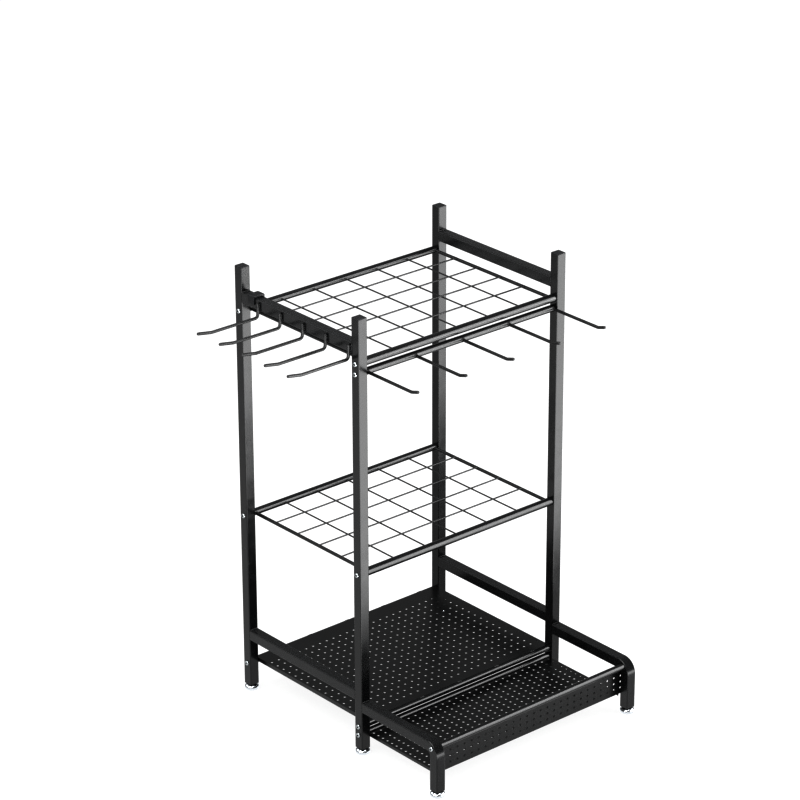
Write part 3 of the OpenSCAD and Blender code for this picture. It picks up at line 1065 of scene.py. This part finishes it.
@dataclass
class LevellingFeet:
    """The six chrome feet: a thick round-edged dome, a hex and a threaded stem."""

    rim: float = 5.5 * MM
    dome_rise: float = 1.4 * MM
    shoulder: float = math.radians(52)
    hex_radius: float = 7.5 * MM
    core: float = 3.35 * MM
    crest: float = 3.95 * MM
    pitch: float = 1.25 * MM
    valley: float = 3.05 * MM
    run_out: float = 0.8 * MM
    tip_round: float = 0.6 * MM
    hex_sunk: float = 0.4 * MM
    sides: int = 48
    disc_steps: int = 10
    crown_steps: int = 6
    turn_steps: int = 16
    places: tuple[str, ...] = ("back", "mid", "front")

    def build(self) -> None:
        """Coats the blocks in the tubes' ends and makes a foot in each."""
        for side in Side:
            for place in self.places:
                coat([f"foot_nut_{side.word}_{place}"], PLASTIC)
                self.foot(f"foot_{side.word}_{place}")

    @property
    def crown(self) -> float:
        """The height of the disc's crown."""
        return 2 * self.rim + self.dome_rise

    def disc(self, radius: float) -> list[tuple[float, float]]:
        """Draws the disc's outline.

        Args:
            radius: the disc's radius in metres.

        Returns:
            Radius and height pairs, from the edge of the flat underside over the crown to the hex.
        """
        flat = radius - self.rim
        sweep = math.pi / 2 + self.shoulder
        angles = [sweep * i / self.disc_steps - math.pi / 2 for i in range(1, self.disc_steps + 1)]
        edge = [(flat + self.rim * math.cos(a), self.rim + self.rim * math.sin(a)) for a in angles]
        start, end = Vector(edge[-1]), Vector((self.hex_radius * 0.97, self.crown))
        # the crown leaves the rim along its tangent and comes in level
        knee = Vector((start.x - (end.y - start.y) * math.tan(self.shoulder), end.y))
        shares = [i / self.crown_steps for i in range(1, self.crown_steps + 1)]
        crown = [start * (1 - t) ** 2 + knee * 2 * t * (1 - t) + end * t * t for t in shares]
        return [*edge, *[(point.x, point.y) for point in crown]]

    def foot(self, node: str) -> None:
        """Makes one foot.

        Args:
            node: the node that it stands for.
        """
        low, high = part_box(node)
        middle = (low + high) / 2
        base = Vector((middle.x, middle.y, low.z))
        block_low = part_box(node.replace("foot_", "foot_nut_"))[0]
        radius = (high.x - low.x) / 2
        work = Workpiece()
        rod = work.rod(radius - self.rim, base, Z, self.sides)
        rod.follow(Z, self.disc(radius))
        rod.cap()
        self.hex(work, base + Z * (self.crown - self.hex_sunk), block_low.z - NEAR)
        self.stem(work, base + Z * self.crown, high.z)
        work.piece(f"{node}_turned", CHROME, body=node, replaces=[node], crease=30)

    def hex(self, work: Workpiece, place: Vector, top: float) -> None:
        """Adds the hex, with its corners turned off at the top.

        Args:
            work: the mesh that it goes into.
            place: the middle of its lower end.
            top: the height that it reaches.
        """
        rod = work.rod(self.hex_radius, place, Z, 6)
        height = top - place.z
        rod.follow(Z, [(self.hex_radius, height * 0.8), (self.hex_radius * 0.9, height)])
        rod.cap()

    def stem(self, work: Workpiece, place: Vector, top: float) -> None:
        """Adds the stem's core, and its thread as one ridge wound up it.

        Args:
            work: the mesh that they go into.
            place: the middle of the stem's lower end.
            top: the height that it reaches.
        """
        height = top - place.z
        rod = work.rod(self.core, place, Z, 24)
        rod.follow(Z, [(self.core, height - self.run_out), (self.core - self.tip_round, height)])
        rod.cap()
        # the ridge nearly meets its next turn at its foot, and has a narrow flat on its crest
        half, flat = self.pitch * 0.46, self.pitch * 0.069
        ridge = [(self.valley, -half), (self.crest, -flat), (self.crest, flat), (self.valley, half)]
        start = place.z + self.pitch * 2
        verts = [work.bm.verts.new((place.x + r, place.y, start + z)) for r, z in ridge]
        face = work.bm.faces.new(verts)
        turns = (height - 5 * self.pitch) / self.pitch
        steps = round(turns * self.turn_steps)
        bmesh.ops.spin(work.bm, geom=[*face.verts, *face.edges, face], cent=place, axis=Z,
                       dvec=Z * self.pitch / self.turn_steps, angle=2 * math.pi * steps / self.turn_steps,
                       steps=steps, use_merge=False, use_duplicate=False)


@dataclass(frozen=True)
class SoftBox:
    """A soft rectangular light that faces the rack.

    Its azimuth goes round from the front towards the rack's right and its elevation up from the floor,
    both in degrees, and its distance and size are in metres. At level 1 its face shows as white.
    """

    name: str
    azimuth: float
    elevation: float
    distance: float
    size: tuple[float, float]
    level: float
    glossy: bool = True

    def hang(self, aim: Vector) -> Object:
        """Makes the light.

        Args:
            aim: the point that it faces, and that its distance is measured from.

        Returns:
            The light's object.
        """
        turn, lift = math.radians(self.azimuth), math.radians(self.elevation)
        out = Vector((math.sin(turn) * math.cos(lift), -math.cos(turn) * math.cos(lift), math.sin(lift)))
        light = bpy.data.lights.new(self.name, "AREA")
        light.shape = "RECTANGLE"
        light.size, light.size_y = self.size
        light.energy = self.level * math.pi * self.size[0] * self.size[1]
        made = bpy.data.objects.new(self.name, light)
        made.matrix_world = upright(aim + out * self.distance, out)
        made.visible_camera = False
        made.visible_glossy = self.glossy
        bpy.context.scene.collection.objects.link(made)
        return made


@dataclass
class Studio:
    """A pale floor, soft lights and the camera at the photograph's viewing angle."""

    azimuth: float = math.radians(40.601)
    elevation: float = math.radians(23.663)
    roll: float = math.radians(-0.206)
    distance: float = 6.894
    lens: float = 152.65
    aim: Vector = field(default_factory=lambda: Vector((0.0562, 0.0968, 0.6590)))
    floor_half: float = 30.0
    key: SoftBox = SoftBox("key_light", 50, 22, 3.4, (3.6, 2.5), 9.0)
    top: SoftBox = SoftBox("top_light", 0, 90, 3.2, (2.6, 2.6), 5.4)
    fill: SoftBox = SoftBox("fill_light", -80, 45, 3.4, (3.0, 2.2), 5.4)
    back: SoftBox = SoftBox("back_light", 207, 38, 3.5, (2.6, 1.2), 2.6)
    lamp_aim: Vector = field(default_factory=lambda: Vector((0, 0, 0.1)))
    card_drop: float = 1 * MM
    card_away: tuple[float, float, float] = (0.76, 0.65, 0.0)
    card_span: tuple[float, float] = (0.1, 0.6)
    card_dim: tuple[float, float] = (1.56, 0.62)
    front_span: tuple[float, float] = (-0.455, -0.66)
    front_glow: float = 5.8
    room_level: float = 0.6
    room_seen: float = 0.99
    contrast: float = 1.7

    def build(self) -> None:
        """Sets up the whole studio."""
        self.camera()
        self.floor()
        self.gloss_card()
        self.lights()
        self.world()
        view = bpy.context.scene.view_settings
        view.view_transform = "Standard"
        view.gamma = 1 / self.contrast

    def camera(self) -> None:
        """Places the camera by its angles about the point that it aims at."""
        back = Vector((-math.sin(self.azimuth) * math.cos(self.elevation),
                       -math.cos(self.azimuth) * math.cos(self.elevation), math.sin(self.elevation)))
        made = bpy.data.cameras.new("photograph_camera")
        made.lens, made.sensor_width = self.lens, 36.0
        made.clip_start, made.clip_end = 0.1, 100.0
        eye = bpy.data.objects.new("photograph_camera", made)
        turn = (-back).to_track_quat("-Z", "Y").to_matrix().to_4x4() @ Matrix.Rotation(self.roll, 4, "Z")
        eye.matrix_world = Matrix.Translation(self.aim + back * self.distance) @ turn
        bpy.context.scene.collection.objects.link(eye)
        bpy.context.scene.camera = eye

    def plane(self, name: str, half: float, height: float) -> Object:
        """Makes a level square that belongs to the studio.

        Args:
            name: its name.
            half: half its side in metres.
            height: how far it lies above the floor.

        Returns:
            The square.
        """
        bm = bmesh.new()
        level = Matrix.Translation(Z * height)
        bmesh.ops.create_grid(bm, x_segments=1, y_segments=1, size=half, matrix=level)
        mesh = bpy.data.meshes.new(name)
        bm.to_mesh(mesh)
        bm.free()
        made = bpy.data.objects.new(name, mesh)
        bpy.context.scene.collection.objects.link(made)
        return made

    def floor(self) -> None:
        """Makes the white floor, which the gloss card stands in for in reflections."""
        floor = self.plane("studio_floor", self.floor_half, 0.0)
        floor.data.materials.append(StudioFloor("white_sweep").material())
        floor.visible_glossy = False

    def fade(self, tree: NodeTree, value: NodeSocket, span: tuple[float, float],
             ends: tuple[float, float]) -> NodeSocket:
        """Passes smoothly from one level to another.

        Args:
            tree: the material's nodes.
            value: what the level follows.
            span: where the value starts and stops to count.
            ends: the levels there.

        Returns:
            The level.
        """
        ranged = add_node(tree, "ShaderNodeMapRange",
                          {"Value": value, "From Min": span[0], "From Max": span[1], "To Min": ends[0],
                           "To Max": ends[1]}, interpolation_type="SMOOTHSTEP")
        return ranged.outputs["Result"]

    def gloss_card(self) -> None:
        """Makes the card that glossy surfaces reflect: bright in front, dim behind and at the right."""
        card = self.plane("gloss_card", self.floor_half, -self.card_drop)
        made = bpy.data.materials.new("gloss_card")
        made.use_nodes = True
        tree = made.node_tree
        tree.nodes.clear()
        place = add_node(tree, "ShaderNodeTexCoord").outputs["Object"]
        split = add_node(tree, "ShaderNodeSeparateXYZ", {"Vector": place})
        away = add_node(tree, "ShaderNodeVectorMath", {0: place, 1: self.card_away}, operation="DOT_PRODUCT")
        dim = self.fade(tree, away.outputs["Value"], self.card_span, self.card_dim)
        bright = self.fade(tree, split.outputs["Y"], self.front_span, (0.0, self.front_glow))
        level = add_node(tree, "ShaderNodeMath", {0: dim, 1: bright})
        glow = add_node(tree, "ShaderNodeEmission", {"Strength": level.outputs["Value"]})
        add_node(tree, "ShaderNodeOutputMaterial", {"Surface": glow.outputs["Emission"]})
        made.cycles.emission_sampling = "NONE"
        card.data.materials.append(made)
        card.visible_camera = card.visible_diffuse = card.visible_shadow = card.visible_transmission = False

    def lights(self) -> None:
        """Hangs the lights: the key's mirror image would glare in the rails' and legs' level faces."""
        key = self.key.hang(self.lamp_aim)
        soft_key = replace(self.key, name="soft_key_light", glossy=False).hang(self.lamp_aim)
        for box in (self.top, self.fill, self.back):
            box.hang(self.lamp_aim)
        self.choose(key, [*SHEETS, *RAILS], "EXCLUDE")
        self.choose(soft_key, RAILS, "INCLUDE")

    def choose(self, light: Object, nodes: Iterable[str], state: str) -> None:
        """Keeps a light off some nodes, or for them alone.

        Args:
            light: the light.
            nodes: the nodes' names.
            state: EXCLUDE or INCLUDE.
        """
        chosen = bpy.data.collections.new(f"chosen_for_{light.name}")
        for name in nodes:
            chosen.objects.link(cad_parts[name])
        for member in chosen.collection_objects:
            member.light_linking.link_state = state
        light.light_linking.receiver_collection = chosen

    def world(self) -> None:
        """Sets a dim grey room, which shows near white past the floor's edge."""
        made = bpy.data.worlds.new("studio_room")
        bpy.context.scene.world = made
        made.use_nodes = True
        tree = made.node_tree
        tree.nodes.clear()
        seen = add_node(tree, "ShaderNodeLightPath").outputs["Is Camera Ray"]
        level = add_node(tree, "ShaderNodeMapRange", {"Value": seen, "To Min": self.room_level,
                                                      "To Max": self.room_seen})
        glow = add_node(tree, "ShaderNodeBackground", {"Strength": level.outputs["Result"]})
        glow.inputs["Color"].default_value = linear("#ffffff")
        add_node(tree, "ShaderNodeOutputWorld", {"Surface": glow.outputs["Background"]})
        made.cycles.sampling_method = "NONE"


def main() -> None:
    """Builds the studio and every sub-assembly, in the order in which the rack is put together."""
    logging.basicConfig(level=logging.INFO, format="%(name)s %(message)s")
    for assembly in (Studio, SideFrames, CrossTubes, WireGrids, FrontProngs, SideProngs, RailSaddle, Trays,
                     SocketBolts, LevellingFeet):
        assembly().build()


if __name__ == "__main__":
    main()
